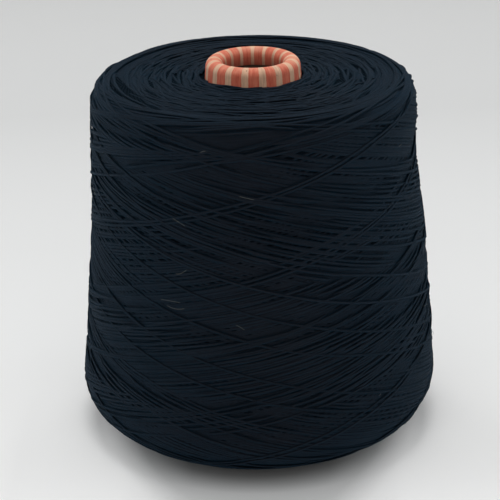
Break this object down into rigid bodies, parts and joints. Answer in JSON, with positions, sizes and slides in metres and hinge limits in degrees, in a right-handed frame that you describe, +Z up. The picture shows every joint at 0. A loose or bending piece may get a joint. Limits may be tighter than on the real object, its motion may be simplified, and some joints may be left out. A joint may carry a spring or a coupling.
{
  "type": "yarn cone",
  "caption": "Cone of dark navy thread cross-wound on a tapered paper cone with a striped, rolled-in nose; it stands on the cone's base.",
  "frame": {"origin": "centre of the annular base of the paper cone, on the surface that it stands on", "axes": "+Z up along the cone's axis, through the base and out of the nose; X and Y are equivalent"},
  "size_m": [0.1598, 0.16, 0.17],
  "materials": {
    "grey_board": "uncoated grey-brown pressed board",
    "striped_paper": "printed paper, coral red with cream lengthwise stripes, slightly scuffed",
    "navy_yarn": "matt twisted thread, dark navy"
  },
  "bodies": {
    "root": {"board_cone": "grey_board", "striped_wrap": "striped_paper", "yarn_body": "navy_yarn", "outer_winding": "navy_yarn", "tail_bunch": "navy_yarn"}
  },
  "joints": []
}
